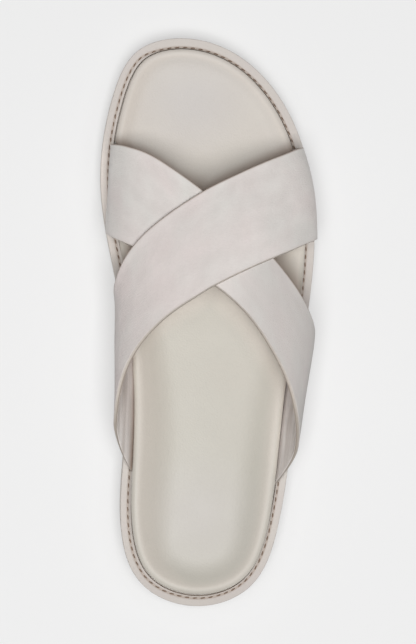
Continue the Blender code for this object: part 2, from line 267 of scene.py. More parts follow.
def outsole_sheets():
    """The underside as rungs, the wall as rings on a rounded profile, and the covered top as rungs."""
    turn = np.linspace(0, np.pi / 2, ROUND_STEPS)
    wall = np.linspace(0, 1, WALL_STEPS)[1:-1]
    inward = np.concatenate([
        LOWER_ROUND_INWARD * (1 - np.sin(turn)),
        np.zeros(len(wall)),
        UPPER_ROUND * (1 - np.cos(turn)),
    ])[:, None]
    rise = np.concatenate([
        LOWER_ROUND_RISE * (1 - np.cos(turn)),
        np.full(len(wall) + len(turn), LOWER_ROUND_RISE),
    ])[:, None]
    drop = np.concatenate([
        np.full(len(turn) + len(wall), UPPER_ROUND),
        UPPER_ROUND * (1 - np.sin(turn)),
    ])[:, None]
    share = np.concatenate([np.zeros(len(turn)), wall, np.ones(len(turn))])[:, None]
    flat = inset(inward)
    along = flat[..., 1]
    low = read(SOLE, "underside", along) + rise
    high = read(SOLE, "rim", along) - OUTSOLE_BELOW_RIM - drop
    rings = at_height(flat, low + (high - low) * share)

    under = rungs(flat[0], UNDERSIDE_COLUMNS)
    span = np.linalg.norm(under[:, -1] - under[:, 0], axis=-1)[:, None]
    reach = np.linspace(0, 1, under.shape[1])[None, :]
    border = span * np.minimum(reach, 1 - reach)
    under = at_height(under, read(SOLE, "underside", under[..., 1]) + tread(under, border))

    top = rungs(flat[-1], TOP_COLUMNS)
    top = at_height(top, read(SOLE, "rim", top[..., 1]) - OUTSOLE_BELOW_RIM)
    return [sheet(under), sheet(rings, ring=True), sheet(top)]


def add_node(tree, kind, settings=None, **sockets):
    """A shader node with its settings, and its sockets set to values or linked to other nodes."""
    item = tree.nodes.new("ShaderNode" + kind)
    for name, value in (settings or {}).items():
        setattr(item, name, value)
    for name, value in sockets.items():
        set_socket(tree, item.inputs[name.replace("_", " ")], value)
    return item


def set_socket(tree, socket, value):
    """A socket linked to another node's output, or set to a value."""
    if isinstance(value, bpy.types.NodeSocket):
        tree.links.new(value, socket)
    else:
        socket.default_value = value


def calculate(tree, operation, first, second=0.0):
    """The output of a Math node on two values."""
    item = add_node(tree, "Math", {"operation": operation})
    set_socket(tree, item.inputs[0], first)
    set_socket(tree, item.inputs[1], second)
    return item.outputs[0]


def spread(tree, value, low, high, start=0.0, end=1.0):
    """A value between start and end taken to one between low and high, and held there."""
    item = add_node(
        tree, "MapRange", Value=value, From_Min=start, From_Max=end, To_Min=low, To_Max=high
    )
    return item.outputs[0]


def mix_colours(tree, share, first, second):
    """A colour between two, by a share from 0 to 1."""
    item = add_node(tree, "Mix", {"data_type": "RGBA"})
    set_socket(tree, item.inputs[0], share)
    set_socket(tree, item.inputs[6], first)
    set_socket(tree, item.inputs[7], second)
    return item.outputs[2]


def bump(tree, height, depth, strength=1.0, under=None):
    """A surface normal from heights between 0 and 1, for a relief of a depth in millimetres."""
    item = add_node(tree, "Bump", Height=height, Strength=strength, Distance=depth * MILLIMETRE)
    if under is not None:
        tree.links.new(under, item.inputs["Normal"])
    return item.outputs[0]


def start_group(name, inputs, output):
    """A node group with named inputs and one named output, and the nodes at its two ends."""
    tree = bpy.data.node_groups.new(name, "ShaderNodeTree")
    for label, kind in inputs.items():
        tree.interface.new_socket(label, in_out="INPUT", socket_type=kind)
    tree.interface.new_socket(output, in_out="OUTPUT", socket_type="NodeSocketFloat")
    return tree, tree.nodes.new("NodeGroupInput").outputs, tree.nodes.new("NodeGroupOutput").inputs


def make_clouds():
    """Group: soft clouds between 0 and 1 whose patches are about as wide as a size in millimetres."""
    tree, given, result = start_group(
        "clouds", {"Place": "NodeSocketVector", "Size": "NodeSocketFloat"}, "Share"
    )
    scale = calculate(tree, "DIVIDE", 1 / MILLIMETRE, given["Size"])
    noise = add_node(tree, "TexNoise", Vector=given["Place"], Scale=scale, Detail=2.0, Roughness=0.5)
    tree.links.new(spread(tree, noise.outputs[0], 0.0, 1.0, 0.28, 0.72), result["Share"])
    return tree


CLOUDS = make_clouds()


def use_group(tree, group, **sockets):
    """The output of a node group placed in a material with its own values."""
    item = tree.nodes.new("ShaderNodeGroup")
    item.node_tree = group
    for name, value in sockets.items():
        set_socket(tree, item.inputs[name.replace("_", " ")], value)
    return item.outputs[0]


def start_material(name, **sockets):
    """A new material, its node tree and its shader with sockets that are the same all over."""
    material = bpy.data.materials.new(name)
    material.use_nodes = True
    tree = material.node_tree
    shader = tree.nodes["Principled BSDF"]
    for label, value in sockets.items():
        shader.inputs[label.replace("_", " ")].default_value = value
    return material, tree, shader


def object_place(tree):
    """The place of each surface point in the sandal's own frame."""
    return add_node(tree, "TexCoord").outputs["Object"]


def make_outsole_rubber():
    """Matt moulded rubber: two close stone tones in clouds, dusty specks and a fine pebbled skin."""
    material, tree, shader = start_material("outsole_rubber", Specular_IOR_Level=0.35)
    place = object_place(tree)
    clouds = use_group(tree, CLOUDS, Place=place, Size=38.0)
    specks = use_group(tree, CLOUDS, Place=place, Size=0.9)
    tone = mix_colours(tree, clouds, (0.665, 0.618, 0.562, 1), (0.710, 0.663, 0.610, 1))
    dusty = mix_colours(tree, spread(tree, specks, 0.0, 0.10), tone, (0.36, 0.32, 0.28, 1))
    tree.links.new(dusty, shader.inputs["Base Color"])
    tree.links.new(spread(tree, clouds, 0.62, 0.76), shader.inputs["Roughness"])
    pebbles = use_group(tree, CLOUDS, Place=place, Size=0.55)
    tree.links.new(bump(tree, pebbles, 0.06), shader.inputs["Normal"])
    return material


outsole = add_piece("outsole_unit", outsole_sheets(), make_outsole_rubber())
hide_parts("outsole")


# Welt: a flat strip of smooth leather round the top edge of the sole, cut with a rounded edge.
# It is glued to the outsole and sewn down in a shallow channel near its inner edge.

WELT_THICKNESS = 2.4
WELT_SETBACK = 0.15  # welt's edge behind the outsole's edge
WELT_TOP_ROUND = 0.4
WELT_SMALL_ROUND = 0.25
WELT_INNER = 5.4
WELT_ROUND_STEPS = 7
WELT_SMALL_STEPS = 4
WELT_TOP_STEPS = 26  # points across the top, close enough for the channel
OUTWARD_SHIFT = 0.3  # of all that lies inside the welt, to the outer side
CHANNEL_DEPTH = 0.35
CHANNEL_HALF_WIDTH = 0.55
STITCH_INSET = 3.7  # of the seam, on the inner side
STITCH_INSET_HEEL = 0.5  # more than that round the heel and up the outer side
STITCH_INSET_TOE = 1.05  # more than that round the toe
SEAM_TURN = (-0.75, -0.15)  # the outline's normal across the shoe, where the seam moves in
SEAM_FORWARD = (-110.0, 110.0)  # along the shoe, from the heel's inset to the toe's
# Along the shoe, where painted light makes the inner side pale beside the strap's end, and back
PAINTED_LIGHT_BEGINS = (26.0, 38.0)
PAINTED_LIGHT_ENDS = (100.0, 86.0)


def between(value, start, end):
    """A smooth rise from 0 where a value is at the start to 1 where it is at the end."""
    return smooth_step((value - start) / (end - start))


def rim(flat):
    """Height of the welt's top over flat points."""
    return read(SOLE, "rim", flat[..., 1])


def welt_shift(inward):
    """How far a line on the welt is shifted to the outer side: more, the nearer its inner edge."""
    return OUTWARD_SHIFT * np.clip((inward - WELT_SETBACK) / (WELT_INNER - WELT_SETBACK), 0, 1)


def stitch_inset():
    """Distance of the seam from the outline: even on the inner side, and more elsewhere.

    It grows in smooth steps where the outline turns to the outer side, and forward along the shoe.
    """
    turned = between(EDGE_NORMAL[:, 0], *SEAM_TURN)
    forward = between(EDGE[:, 1], *SEAM_FORWARD)
    more = STITCH_INSET_HEEL + (STITCH_INSET_TOE - STITCH_INSET_HEEL) * forward
    return STITCH_INSET + more * turned


def welt_sheets():
    """The strip's section carried round the outline: rounded edges and a channel like a bell curve.

    One field is 1 on the raw cut of its inner edge and 0 elsewhere, one follows the bell curve, and
    one is 1 beside the strap's end at the inner ball, for painted light there.
    """
    turn = np.linspace(0, np.pi / 2, WELT_ROUND_STEPS)
    small = np.linspace(0, np.pi / 2, WELT_SMALL_STEPS)
    top_start = WELT_SETBACK + WELT_TOP_ROUND
    top_end = WELT_INNER - WELT_SMALL_ROUND
    top = np.linspace(top_start, top_end, WELT_TOP_STEPS)[1:-1]
    inward = np.concatenate([
        [WELT_INNER, WELT_INNER / 2],
        WELT_SETBACK + WELT_SMALL_ROUND * (1 - np.sin(small)),
        WELT_SETBACK + WELT_TOP_ROUND * (1 - np.cos(turn)),
        top,
        top_end + WELT_SMALL_ROUND * np.sin(small),
    ])[:, None]
    below = np.concatenate([
        [WELT_THICKNESS, WELT_THICKNESS],
        WELT_THICKNESS - WELT_SMALL_ROUND * (1 - np.cos(small)),
        WELT_TOP_ROUND * (1 - np.sin(turn)),
        np.zeros(len(top)),
        WELT_SMALL_ROUND * (1 - np.cos(small)),
    ])[:, None]
    cut = np.concatenate([[1.0], np.zeros(len(inward) - 1 - len(small)), np.sin(small)])[:, None]
    on_top = (below < WELT_TOP_ROUND) * (1 - cut)
    channel = on_top * np.exp(-((inward - stitch_inset()) / CHANNEL_HALF_WIDTH) ** 2)
    flat = inset(inward, welt_shift(inward))
    points = at_height(flat, rim(flat) - below - CHANNEL_DEPTH * channel)
    along = flat[..., 1]
    inner_side = flat[..., 0] < 0
    # the share of painted light that lifts the strap's shade beside its end
    beside = inner_side * between(along, *PAINTED_LIGHT_BEGINS) * between(along, *PAINTED_LIGHT_ENDS)
    fields = {
        "cut": np.broadcast_to(cut, channel.shape).ravel(),
        "channel": channel.ravel(),
        "beside": beside.ravel(),
    }
    return [sheet(points, ring=True, loop=True)], fields


def make_grain():
    """Group: heights of leather grain, pebbles at 1 and pores at 0, for a cell size in millimetres."""
    tree, given, result = start_group(
        "grain", {"Place": "NodeSocketVector", "Cell": "NodeSocketFloat"}, "Height"
    )
    scale = calculate(tree, "DIVIDE", 1 / MILLIMETRE, given["Cell"])
    cells = add_node(tree, "TexVoronoi", {"feature": "SMOOTH_F1"}, Vector=given["Place"], Scale=scale)
    patch = calculate(tree, "MULTIPLY", given["Cell"], 2.5)
    uneven = use_group(tree, CLOUDS, Place=given["Place"], Size=patch)
    pebble = spread(tree, cells.outputs["Distance"], 1.0, 0.0, 0.1, 0.8)
    height = calculate(tree, "MULTIPLY", pebble, spread(tree, uneven, 0.45, 1.0))
    tree.links.new(height, result["Height"])
    return tree


GRAIN = make_grain()


def field(tree, name, output="Fac"):
    """The values that a piece has at its points under a name."""
    return add_node(tree, "Attribute", {"attribute_name": name}).outputs[output]


def coordinate(tree, place, axis):
    """One of the three coordinates of a place."""
    return add_node(tree, "SeparateXYZ", Vector=place).outputs[axis]


def make_welt_leather():
    """Smooth dyed leather with warm and cool clouds, fine grain and a polished skin.

    It has painted shade round the heel and painted light beside the strap's end, where the strap
    shades it. Its channel is darker, partly by wax and partly by painted shade, and it is brown at the
    raw cut.
    """
    material, tree, shader = start_material("welt_leather", Specular_IOR_Level=0.4)
    place = object_place(tree)
    clouds = use_group(tree, CLOUDS, Place=place, Size=24.0)
    grain = use_group(tree, GRAIN, Place=place, Cell=0.7)
    tone = mix_colours(tree, clouds, (0.590, 0.548, 0.503, 1), (0.612, 0.562, 0.532, 1))
    # painted shade: the welt is darker round the heel
    heel_shade = spread(tree, coordinate(tree, place, "Y"), 0.3, 0.0, -0.14, -0.105)
    tone = mix_colours(tree, heel_shade, tone, (0.42, 0.38, 0.35, 1))
    # painted light: paler beside the strap's end, where the strap shades the welt
    beside = spread(tree, field(tree, "beside"), 0.0, 0.5)
    tone = mix_colours(tree, beside, tone, (0.86, 0.79, 0.73, 1))
    pores = mix_colours(tree, spread(tree, grain, 0.12, 0.0, 0.0, 0.4), tone, (0.40, 0.34, 0.29, 1))
    # the channel is darker brown: partly wax, partly painted shade in the recess
    channel = spread(tree, field(tree, "channel"), 0.0, 0.55)
    wax_and_shade = mix_colours(tree, channel, pores, (0.38, 0.29, 0.22, 1))
    tone = mix_colours(tree, field(tree, "cut"), wax_and_shade, (0.36, 0.27, 0.20, 1))
    tree.links.new(tone, shader.inputs["Base Color"])
    tree.links.new(spread(tree, clouds, 0.50, 0.60), shader.inputs["Roughness"])
    tree.links.new(bump(tree, grain, 0.06), shader.inputs["Normal"])
    return material


strip_sheets, strip_fields = welt_sheets()
welt = add_piece("welt_strip", strip_sheets, make_welt_leather(), strip_fields)
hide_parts("welt")


# Welt stitches: a lockstitch of waxed brown thread that holds the welt to the sole.
# Each stitch lies in the channel, leans a little to the seam, and dives into a hole at both ends.

STITCH_PITCH = 4.0
STITCH_HALF = 1.35
STITCH_RADIUS = 0.36
STITCH_LEAN = np.radians(7.0)
STITCH_BOW = 0.45  # fall of a stitch's ends below its middle
STITCH_SUNK = 0.15  # middle of the thread below the welt's top
STITCH_TAPER = 0.7  # power by which a stitch thins towards its ends
STITCH_PLIES = 2
STITCH_TWIST = 2.0  # turns of the plies from a stitch's middle to its end
STITCH_STEPS = 7
STITCH_SIDES = 8


def stitch_sheets():
    """Short threads along the seam, each a tube whose radius and height fall off towards its ends."""
    seam = inset(stitch_inset(), welt_shift(stitch_inset()))
    closed = np.vstack([seam, seam[:1]])
    length = np.concatenate([[0], np.cumsum(np.linalg.norm(np.diff(closed, axis=0), axis=1))])
    count = int(round(length[-1] / STITCH_PITCH))
    middle = (np.arange(count) + 0.5)[:, None] * length[-1] / count
    turn = np.linspace(-np.pi / 2, np.pi / 2, STITCH_STEPS)
    reach = np.sin(turn)[None, :]
    at = (middle + STITCH_HALF * reach) % length[-1]
    line = np.stack([np.interp(at, length, closed[:, axis]) for axis in (0, 1)], axis=-1)
    normal = np.vstack([EDGE_NORMAL, EDGE_NORMAL[:1]])
    side = np.stack([np.interp(at, length, normal[:, axis]) for axis in (0, 1)], axis=-1)
    line = line + side * (STITCH_HALF * np.sin(STITCH_LEAN) * reach)[..., None]
    height = rim(line) - STITCH_SUNK - STITCH_BOW * reach ** 2
    radius = STITCH_RADIUS * np.cos(turn) ** STITCH_TAPER
    angle = np.linspace(0, 2 * np.pi, STITCH_SIDES, endpoint=False)
    out = radius[None, :, None] * np.cos(angle)
    lift = radius[None, :, None] * np.sin(angle)
    flat = line[:, :, None] + side[:, :, None] * out[..., None]
    threads = at_height(flat, height[..., None] + lift)
    twist = reach[..., None] * STITCH_TWIST + angle / (2 * np.pi)
    twist = np.broadcast_to(twist, threads.shape[:3])
    return [sheet(thread, ring=True) for thread in threads], {"twist": twist.ravel()}


def make_thread():
    """Waxed brown thread: plies that wind round each other in a sine, dark between them."""
    material, tree, shader = start_material("welt_thread", Specular_IOR_Level=0.4, Roughness=0.6)
    phase = calculate(tree, "MULTIPLY", field(tree, "twist"), 2 * np.pi * STITCH_PLIES)
    turned = calculate(tree, "SINE", phase)
    ply = spread(tree, turned, 0.0, 1.0, -1.0, 1.0)
    # painted shade: the thread is darker in the grooves between its plies
    tone = mix_colours(tree, ply, (0.225, 0.150, 0.108, 1), (0.350, 0.250, 0.188, 1))
    tree.links.new(tone, shader.inputs["Base Color"])
    tree.links.new(bump(tree, ply, 0.12), shader.inputs["Normal"])
    return material


thread_sheets, thread_fields = stitch_sheets()
stitches = add_piece("welt_stitches", thread_sheets, make_thread(), thread_fields)


# Under strap: the lower of two wide bands of nubuck that cross over the instep, from the inner ball
# to the outer side of the heel. It is cut to shape with raw edges, lined with smooth leather,
# and its thinned ends go down into the groove inside the welt.

STRAP_SKIVED = 1.2  # thinned end of a strap, held in the groove
STRAP_GROOVE = 6.9  # lining of a strap's end, in from the outline
STRAP_THICKNESS = 2.0
STRAP_CUT_ROUND = 0.35
REAR_BEVEL_SIDE = 0.9  # the rear cut slants, and its lining ends this far behind the nubuck
REAR_BEVEL_MIDDLE = 0.5
FRONT_CURL_REACH = 6.0  # in from the front edge, where the strap begins to curl up
STRAP_STEPS_ACROSS = 64
STRAP_STEPS_WALL = 34
STRAP_STEPS_ARCH = 220
STRAP_STEPS_CORNER = 4
SKIVE_END = 8.0  # height at which a strap has its full thickness
# Size of the strap's pattern from its rear edge to its front, and from outside to lining
PATTERN_WIDTH = 45.0
PATTERN_DEPTH = 4.0
FRONT_PART = (0.020, 0.025)  # metres across the pattern, where the strap's front part begins
# Metres along the shoe, over which painted shade darkens the rear cut, and the lining turns pale,
# to the heel
CUT_PAINTED_SHADE = (-0.036, -0.050)
LINING_PALES = (-0.034, -0.060)
# painted shade of the gap by the footbed's lip turns the lining brown from here
LINING_GAP_SHADE = (0.0142, 0.0108)  # metres from the strap's inner end, where the lining turns brown

# Sections of the last that the straps lie on, with heights over the straps' ends
LAST = table(
    "along height shoulder ridge bulge_inner bulge_outer",
    (91.0, 38.0, 15.0, -1.5, 0.7, 3.4),
    (66.0, 44.0, 16.0, -1.5, 1.8, 4.4),
    (42.0, 50.0, 18.0, -1.0, 6.2, 4.6),
    (18.0, 55.0, 20.0, -0.5, 7.0, 5.8),
    (-14.0, 60.0, 22.0, 0.5, 10.8, 8.4),
    (-46.0, 63.0, 23.0, 0.5, 11.6, 7.2),
    (-82.0, 66.0, 24.0, 0.5, 11.6, 6.0),
)
WALL_SHARE = 0.12  # share of the girth on each side wall
STRAIGHT_RISE = 2.8  # a strap's end goes straight up in the groove this far

# The strap's cut edges along the shoe, across the girth from the inner groove (0) to the outer (1)
UNDER_STRAP = table(
    "girth front rear",
    (0.00, 90.0, 44.5),
    (0.16, 89.0, 43.0),
    (0.26, 87.2, 38.9),
    (0.35, 82.3, 32.8),
    (0.42, 74.2, 27.4),
    (0.50, 62.0, 18.7),
    (0.57, 47.6, 5.8),
    (0.65, 30.8, -14.8),
    (0.73, 14.6, -33.8),
    (0.82, -0.5, -53.0),
    (0.88, -7.0, -64.5),
    (0.94, -10.5, -77.5),
    (1.00, -14.0, -86.0),
)

# Soft folds: where they lie along the strap from its inner end and across it from its rear edge (0)
# to its front (1), how wide and long they are, how they slant, and how high they stand
UNDER_FOLDS = table(
    "run share width reach slant height",
    (27.0, 0.55, 7.0, 0.40, 6.0, -0.35),
    (42.0, 0.40, 10.0, 0.50, -8.0, 0.30),
    (150.0, 0.45, 11.0, 0.45, 12.0, 0.30),
    (172.0, 0.35, 9.0, 0.40, 10.0, -0.45),
    (190.0, 0.25, 8.0, 0.35, -6.0, 0.35),
)

# Along the strap from its inner end: how rosy the nubuck is, how much painted shade greys it on
# its steep flanks and ends, and how high the front edge curls up
UNDER_TONES_SHADE_CURL = table(
    "run rosy worn curl",
    (0.0, 0.35, 0.0, 0.0),
    (30.0, 0.35, 0.0, 0.5),
    (60.0, 0.35, 0.0, 0.5),
    (78.0, 0.35, 0.0, 0.0),
    (92.0, 0.35, 0.0, 0.0),
    (112.0, 0.33, 0.22, 0.0),
    (135.0, 0.32, 0.36, 0.0),
    (150.0, 0.31, 0.33, 0.3),
    (168.0, 0.30, 0.28, 0.0),
    (182.0, 0.25, 0.62, 0.0),
    (200.0, 0.25, 0.62, 0.0),
)


def groove_across(along, outer_side):
    """Where the lining of a strap's end stands in the groove, on one side of the shoe."""
    ring = inset(STRAP_GROOVE, OUTWARD_SHIFT)
    half = OUTLINE_STEPS // 2
    side = ring[half:][::-1] if outer_side else ring[:half]
    return np.interp(along, side[:, 1], side[:, 0])


def lean(up, shoulder):
    """Share of its bulge that a strap's side wall has at a height over its end."""
    return between(up, STRAIGHT_RISE, shoulder)


def last_point(girth, along):
    """The lining's place on the last, straight up from the groove, out over a bulge and along an arch.

    Girth runs from 0 in the inner groove to 1 in the outer one. The height over it is given too.
    """
    girth, along = np.broadcast_arrays(girth, along)
    height = read(LAST, "height", along)
    shoulder = read(LAST, "shoulder", along)
    ridge = read(LAST, "ridge", along)
    wall = np.minimum(girth, 1 - girth) / WALL_SHARE
    up = shoulder * np.minimum(wall, 1)
    inner = groove_across(along, False) - read(LAST, "bulge_inner", along) * lean(up, shoulder)
    outer = groove_across(along, True) + read(LAST, "bulge_outer", along) * lean(up, shoulder)
    turn = np.pi * np.clip((girth - WALL_SHARE) / (1 - 2 * WALL_SHARE), 0, 1)
    side = np.where(girth < 0.5, inner, outer)
    across = np.where(wall < 1, side, ridge + np.abs(np.cos(turn)) * (side - ridge))
    up = up + (height - shoulder) * np.sin(turn)
    base = read(SOLE, "rim", along) - WELT_THICKNESS
    return np.stack([across, along, base + up], axis=-1), up


def last_surface(girth, along, lift):
    """Points at a height off the last, measured square to it."""
    girth_step = 0.002
    along_step = 1.0
    point = last_point(girth, along)[0]
    before = last_point(np.clip(girth - girth_step, 0, 1), along)[0]
    after = last_point(np.clip(girth + girth_step, 0, 1), along)[0]
    behind = last_point(girth, along - along_step)[0]
    ahead = last_point(girth, along + along_step)[0]
    normal = np.cross(after - before, ahead - behind)
    normal /= np.linalg.norm(normal, axis=-1, keepdims=True)
    return point + normal * np.broadcast_to(lift, point.shape[:-1])[..., None]


def strap_girths():
    """Places round the girth at which a strap is drawn, closer on the walls."""
    wall = np.linspace(0, WALL_SHARE, STRAP_STEPS_WALL, endpoint=False)
    arch = np.linspace(WALL_SHARE, 1 - WALL_SHARE, STRAP_STEPS_ARCH, endpoint=False)
    return np.concatenate([wall, arch, 1 - np.append(wall, WALL_SHARE)[::-1]])


def slantwise(girth, edge):
    """Length along the shoe that is one millimetre square to a cut edge, at each place of the girth."""
    tangent = np.gradient(last_surface(girth, edge, 0.0), axis=0)
    along = last_surface(girth, edge + 0.5, 0.0) - last_surface(girth, edge - 0.5, 0.0)
    square = np.linalg.norm(np.cross(along, tangent), axis=-1) / np.linalg.norm(tangent, axis=-1)
    return 1 / square


def soft_folds(folds, run, share):
    """Sum of soft ridges and troughs, each a bell curve along the strap and another across it."""
    total = np.zeros(np.broadcast(run, share).shape)
    for row in zip(*folds.values()):
        middle, across, width, reach, slant, height = row
        off = (run - middle - slant * (share - across)) / width
        total += height * np.exp(-off ** 2 - ((share - across) / reach) ** 2)
    return total


def strap_sheet(edges, folds, tones_shade_curl, raise_off_last):
    """One strap as a closed band: its outside, front cut, lining and rear cut carried along its run.

    The cut edges are rounded by quarter circles, and both ends are drawn together in the groove.
    Its fields give the depth from outside (0) to lining (1), the distance to the nearest cut edge,
    the place along, across and through the strap, how rosy it is, and how much painted shade it has.
    """
    girth = strap_girths()[:, None]
    front = read(edges, "front", girth, by="girth")
    rear = read(edges, "rear", girth, by="girth")
    front_slant = slantwise(girth, front)
    rear_slant = slantwise(girth, rear)
    turn = np.linspace(0, np.pi / 2, STRAP_STEPS_CORNER + 1)[1:]
    corner_in = STRAP_CUT_ROUND * (1 - np.sin(turn))
    corner_down = STRAP_CUT_ROUND * (1 - np.cos(turn))
    cut_in = np.concatenate([corner_in, corner_in[::-1]])[None, :]
    share = np.linspace(0, 1, STRAP_STEPS_ACROSS)[None, :]
    last = front - STRAP_CUT_ROUND * front_slant
    rear_bevel = REAR_BEVEL_MIDDLE + (REAR_BEVEL_SIDE - REAR_BEVEL_MIDDLE) * (2 * girth - 1) ** 2
    nubuck_first = rear + (STRAP_CUT_ROUND + rear_bevel) * rear_slant
    lining_first = rear + STRAP_CUT_ROUND * rear_slant
    nubuck = nubuck_first + (last - nubuck_first) * share
    lining = lining_first + (last - lining_first) * share
    bevel = rear_bevel * np.repeat([0.0, 1.0], STRAP_STEPS_CORNER)
    along = np.concatenate([
        nubuck, front - cut_in * front_slant, lining[:, ::-1], rear + (cut_in + bevel) * rear_slant,
    ], axis=1)
    face_down = np.zeros(STRAP_STEPS_ACROSS)
    down = np.concatenate([
        face_down, corner_down, corner_down[::-1], face_down, corner_down, corner_down[::-1],
    ])[None, :]
    outside = np.zeros(STRAP_STEPS_CORNER)
    inside = np.ones(STRAP_STEPS_CORNER)
    from_lining = np.concatenate([
        face_down, outside, inside, face_down + 1, inside, outside,
    ])[None, :]

    girth = np.broadcast_to(girth, along.shape)
    up = last_point(girth, along)[1]
    full = between(up, STRAIGHT_RISE, SKIVE_END)
    thickness = STRAP_SKIVED + (STRAP_THICKNESS - STRAP_SKIVED) * full
    centre = last_surface(girth[:, :1], (front + rear) / 2, 0.0)[:, 0]
    run = np.concatenate([[0], np.cumsum(np.linalg.norm(np.diff(centre, axis=0), axis=1))])[:, None]
    across = (along - rear) / (front - rear)
    from_front = (front - along) / front_slant
    curl = read(tones_shade_curl, "curl", run, by="run") * smooth_step(1 - from_front / FRONT_CURL_REACH) ** 2
    base = raise_off_last(girth, along) + (soft_folds(folds, run, across) + curl) * full
    over_lining = np.where(from_lining > 0.5, down, thickness - down)
    points = last_surface(girth, along, base + over_lining)
    closing = last_surface(girth, along, base + thickness / 2)
    grid = np.concatenate([closing[:1], points, closing[-1:]])

    rows = np.r_[0, np.arange(len(points)), len(points) - 1]
    depth = (1 - over_lining / thickness)[rows]
    from_rear = (along - rear) / rear_slant - rear_bevel * (1 - from_lining)
    edge = np.minimum(from_rear, from_front)[rows]
    run = np.broadcast_to(run, along.shape)[rows]
    place = np.stack([run, PATTERN_WIDTH * across[rows], PATTERN_DEPTH * depth], axis=-1)
    fields = {
        "depth": depth.ravel(),
        "edge_distance": edge.ravel(),
        "strap_place": place.reshape(-1, 3) * MILLIMETRE,
        "rosy": read(tones_shade_curl, "rosy", run, by="run").ravel(),
        "worn": read(tones_shade_curl, "worn", run, by="run").ravel(),
    }
    return [sheet(grid, ring=True)], fields


def stretch(tree, place, along, across):
    """A place whose pattern is stretched along or across the strap, the more the lower the number."""
    scale = (along, across, 1.0)
    return add_node(tree, "Mapping", {"vector_type": "POINT"}, Vector=place, Scale=scale).outputs[0]


def make_strap_nubuck():
    """Nubuck with a short nap, brushed along the strap, in patches of a grey and a rosy tone.

    Its front edge has a dark brown burnish, partly real and partly painted shade of the line along it.
    The rear cut is raw and beige, darker to the lining partly by a glue line and partly by painted
    shade, and darker to the heel by painted shade. The lining is smooth, with soft bands of painted
    highlight and shade that stand in for its folds, paler to the heel, and brown by painted shade of
    the gap in the inner groove. Painted shade greys the nubuck on its steep flanks and ends, and near
    its edges partly with handling.
    """
    material, tree, shader = start_material(
        "strap_nubuck", Specular_IOR_Level=0.2, Sheen_Weight=0.12, Sheen_Roughness=0.5
    )
    place = field(tree, "strap_place", "Vector")
    depth = field(tree, "depth")
    edge = field(tree, "edge_distance")
    brushed = stretch(tree, place, 0.3, 1.0)
    clouds = use_group(tree, CLOUDS, Place=place, Size=26.0)
    blotches = use_group(tree, CLOUDS, Place=place, Size=9.0)
    streaks = use_group(tree, CLOUDS, Place=brushed, Size=5.0)
    nap = use_group(tree, CLOUDS, Place=brushed, Size=0.45)
    rosy = calculate(tree, "ADD", field(tree, "rosy"), spread(tree, clouds, -0.5, 0.5))
    tone = mix_colours(tree, rosy, (0.809, 0.787, 0.752, 1), (0.832, 0.744, 0.723, 1))
    # painted shade: greyer and darker on the steep flanks and ends
    tone = mix_colours(tree, field(tree, "worn"), tone, (0.403, 0.385, 0.368, 1))
    tone = mix_colours(tree, spread(tree, blotches, 0.0, 0.28), tone, (0.60, 0.540, 0.520, 1))
    tone = mix_colours(tree, spread(tree, streaks, 0.0, 0.16), tone, (0.60, 0.56, 0.53, 1))
    tone = mix_colours(tree, spread(tree, nap, 0.0, 0.16), tone, (0.58, 0.54, 0.51, 1))
    # darker within 1.2 mm of every cut edge: partly handling, partly painted shade of the edge line
    handling_and_shade = spread(tree, edge, 0.35, 0.0, 0.0, 1.2)
    tone = mix_colours(tree, handling_and_shade, tone, (0.58, 0.53, 0.485, 1))
    at_front = spread(tree, coordinate(tree, place, "Y"), 0.0, 1.0, *FRONT_PART)
    # the front edge is dark brown: partly a real burnish, partly painted shade of the line in front of
    # it
    burnish_and_shade = calculate(tree, "MULTIPLY", at_front, spread(tree, edge, 0.85, 0.0, 0.1, 0.8))
    tone = mix_colours(tree, burnish_and_shade, tone, (0.30, 0.22, 0.17, 1))

    along_shoe = coordinate(tree, object_place(tree), "Y")
    raw = mix_colours(tree, nap, (0.66, 0.60, 0.54, 1), (0.58, 0.525, 0.465, 1))
    # the rear cut darkens to the lining: partly a glue line, partly painted shade under the cut
    inward = spread(tree, depth, 0.0, 1.0, 0.50, 0.75)
    raw = mix_colours(tree, inward, raw, (0.36, 0.30, 0.25, 1))
    # painted shade: the rear cut darkens towards the strap's ends at the heel
    heel_cut_shade = spread(tree, along_shoe, 0.0, 0.6, *CUT_PAINTED_SHADE)
    raw = mix_colours(tree, heel_cut_shade, raw, (0.30, 0.26, 0.22, 1))
    # the front cut, dark brown: burnish and painted shade of the line along the front edge
    raw = mix_colours(tree, at_front, raw, (0.24, 0.175, 0.13, 1))

    # painted highlight and shade: light and dark soft bands stand in for the lining's folds
    bands = use_group(tree, CLOUDS, Place=stretch(tree, place, 1.0, 0.2), Size=6.0)
    lining = mix_colours(tree, bands, (0.84, 0.775, 0.745, 1), (0.49, 0.430, 0.395, 1))
    pale_lining = mix_colours(tree, bands, (0.95, 0.905, 0.880, 1), (0.60, 0.545, 0.510, 1))
    pale = spread(tree, along_shoe, 0.0, 1.0, *LINING_PALES)
    lining = mix_colours(tree, pale, lining, pale_lining)
    # painted shade: the lining turns brown low in the inner groove, in the gap by the footbed's lip
    foot = spread(tree, coordinate(tree, place, "X"), 0.0, 0.85, *LINING_GAP_SHADE)
    lining = mix_colours(tree, foot, lining, (0.30, 0.22, 0.17, 1))

    on_cut = spread(tree, depth, 0.0, 1.0, 0.10, 0.20)
    on_lining = spread(tree, depth, 0.0, 1.0, 0.85, 0.95)
    tone = mix_colours(tree, on_lining, mix_colours(tree, on_cut, tone, raw), lining)
    tree.links.new(tone, shader.inputs["Base Color"])
    tree.links.new(spread(tree, on_lining, 0.92, 0.62), shader.inputs["Roughness"])
    grain = use_group(tree, GRAIN, Place=place, Cell=0.8)
    fine = bump(tree, nap, 0.10)
    tree.links.new(bump(tree, grain, 0.03, under=fine), shader.inputs["Normal"])
    return material


